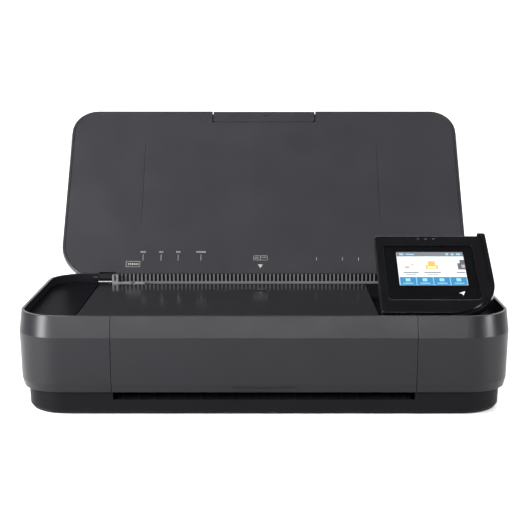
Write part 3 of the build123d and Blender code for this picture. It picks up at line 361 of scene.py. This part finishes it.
screen("screen_status", [(0, 1, 0.86, 1)], "glow_grey", 1)
screen("screen_status_icons", [(0.04, 0.1, 0.905, 0.955), (0.14, 0.26, 0.915, 0.945),
                               (0.74, 0.78, 0.9, 0.96), (0.82, 0.86, 0.9, 0.96),
                               (0.9, 0.96, 0.905, 0.955)], "glow_pale", 2)
screen("screen_bar", [(0.005 + 0.25 * k, 0.245 + 0.25 * k, 0.0, 0.24) for k in range(4)],
       "glow_blue", 1)
screen("screen_bar_gaps", [(0.245 + 0.25 * k, 0.255 + 0.25 * k, 0.0, 0.24) for k in range(3)],
       "glow_pale", 2)
screen("screen_bar_icons", [(0.09 + 0.25 * k, 0.16 + 0.25 * k, 0.11, 0.2) for k in range(4)]
       + [(0.05 + 0.25 * k, 0.2 + 0.25 * k, 0.04, 0.065) for k in range(4)], "glow_pale", 3)
screen("screen_tile_one", [(0.12, 0.26, 0.5, 0.74)], "glow_ink_pale", 1)
screen("screen_tile_one_page", [(0.13, 0.25, 0.52, 0.725)], "glow_white", 2)
screen("screen_tile_one_mark", [(0.1, 0.17, 0.5, 0.56), (0.2, 0.24, 0.6, 0.64)], "glow_red", 3)
screen("screen_tile_two", [(0.41, 0.6, 0.48, 0.6), (0.45, 0.56, 0.6, 0.72)], "glow_gold", 1)
screen("screen_tile_two_slot", [(0.44, 0.57, 0.52, 0.55)], "glow_white", 2)
screen("screen_tile_three", [(0.89, 1.0, 0.46, 0.66), (0.93, 1.0, 0.66, 0.76)], "glow_ink", 1)
screen("screen_tile_three_eye", [(0.95, 1.0, 0.52, 0.61)], "glow_red", 2)
screen("screen_captions", [(0.07, 0.3, 0.36, 0.39), (0.1, 0.26, 0.31, 0.335),
                           (0.38, 0.63, 0.36, 0.39), (0.42, 0.58, 0.31, 0.335),
                           (0.86, 0.99, 0.36, 0.39)], "glow_ink", 1)

# Black border under the touch glass, with the lit arrow key.
bm = bmesh.new()
glass_z = 75.36
for x0, x1, y0, y1 in ((97.2, 106.9, -58, 6.6), (161.1, 168.8, -58, 6.6), (106.9, 161.1, -58, -40.3),
                       (106.9, 161.1, -0.1, 6.6)):
    add_box(bm, x0, x1, y0, y1, glass_z - 0.03, glass_z + 0.3)
add_piece("glass_border", bm, "bezel", "display_panel")
bm = bmesh.new()
add_prism(bm, [(152.5, -49.6), (157.4, -47.2), (155.6, -52.2), (154.8, -49.9)], 75.665, 75.68)
add_piece("arrow_key", bm, "glow_white", "display_panel")

# Cartridge labels and coloured ink dots, seen when the scanner lid is up.
bm = bmesh.new()
add_box(bm, 122.5, 139.5, -4, 13, 58.58, 58.66)
add_piece("label_black_ink", bm, "label", "ink_carriage")
bm = bmesh.new()
add_box(bm, 146.5, 163.5, -4, 13, 58.58, 58.66)
add_piece("label_colour_ink", bm, "label", "ink_carriage")
for i, tint in enumerate(("cyan", "magenta", "yellow")):
    bm = bmesh.new()
    add_box(bm, 148.5 + 5 * i, 152 + 5 * i, 6, 11, 58.66, 58.7)
    add_piece("ink_dot_" + tint, bm, tint, "ink_carriage")

# Rating label under the base, with plain bars in place of its text.
bm = bmesh.new()
add_box(bm, -40, 40, -30, 20, 1.12, 1.21)
add_piece("rating_label", bm, "label", "body")
bm = bmesh.new()
for i in range(7):
    add_box(bm, -36, 10 + (i * 13) % 22, 10 - 5 * i, 12 - 5 * i, 1.09, 1.13)
for i in range(14):
    add_box(bm, 18 + i * 1.3, 18.6 + i * 1.3 + (i % 3) * 0.2, -26, -14, 1.09, 1.13)
add_piece("rating_print", bm, "print_dark", "body")


# ---------------------------------------------------------------- studio
def area(name, loc, target, size, power, size_y=None, colour=(1, 1, 1)):
    """A soft rectangular light aimed at a point."""
    data = bpy.data.lights.new(name, "AREA")
    data.energy = power
    data.color = colour
    data.size = size
    if size_y:
        data.shape = "RECTANGLE"
        data.size_y = size_y
    obj = bpy.data.objects.new(name, data)
    obj.location = loc
    obj.rotation_euler = (Vector(target) - Vector(loc)).to_track_quat("-Z", "Y").to_euler()
    bpy.context.scene.collection.objects.link(obj)


floor_mesh = bpy.data.meshes.new("floor")
floor_mesh.from_pydata([(-6, -6, 0), (6, -6, 0), (6, 6, 0), (-6, 6, 0)], [], [(0, 1, 2, 3)])
floor = bpy.data.objects.new("floor", floor_mesh)
bpy.context.scene.collection.objects.link(floor)
floor_mat, floor_tree, floor_shader = new_material("floor")
floor_shader.inputs["Base Color"].default_value = (0.86, 0.86, 0.86, 1)
floor_shader.inputs["Roughness"].default_value = 0.6
floor_mesh.materials.append(floor_mat)

wall_mesh = bpy.data.meshes.new("backdrop")
wall_mesh.from_pydata([(-6, 3.5, 0), (6, 3.5, 0), (6, 3.5, 5), (-6, 3.5, 5)], [], [(0, 1, 2, 3)])
wall = bpy.data.objects.new("backdrop", wall_mesh)
bpy.context.scene.collection.objects.link(wall)
wall_mesh.materials.append(glow("backdrop_glow", (1.0, 1.0, 1.0), 0.95))

world = bpy.data.worlds.new("world")
world.use_nodes = True
world.node_tree.nodes["Background"].inputs["Color"].default_value = (1, 1, 1, 1)
world.node_tree.nodes["Background"].inputs["Strength"].default_value = 0.16
bpy.context.scene.world = world

area("key_top", (-1.25, -0.4, 1.2), (0, 0, 0.05), 0.7, 15, 0.8)
area("front_band", (-0.3, -1.9, 0.95), (0, 0, 0.06), 2.4, 50, 0.24)
area("left_strip", (-0.9, -0.55, 0.36), (-0.17, 0, 0.08), 0.25, 26, 0.5)
area("right_strip", (1.0, -0.45, 0.36), (0.17, 0, 0.08), 0.25, 14, 0.5)
area("floor_wash", (0, 1.8, 1.9), (0, 1.3, 0), 3.0, 70, 1.2)

cam = bpy.data.cameras.new("camera")
cam.sensor_width = 36
cam.lens = cam.sensor_width * FOCAL_PX / WIDE_PX
cam.shift_x = 1 / WIDE_PX
cam.clip_start = 0.01
camera = bpy.data.objects.new("camera", cam)
camera.location = CAMERA_AT
camera.rotation_euler = (math.radians(90 - CAMERA_DOWN), 0, 0)
bpy.context.scene.collection.objects.link(camera)
bpy.context.scene.camera = camera
bpy.context.scene.view_settings.view_transform = "Standard"
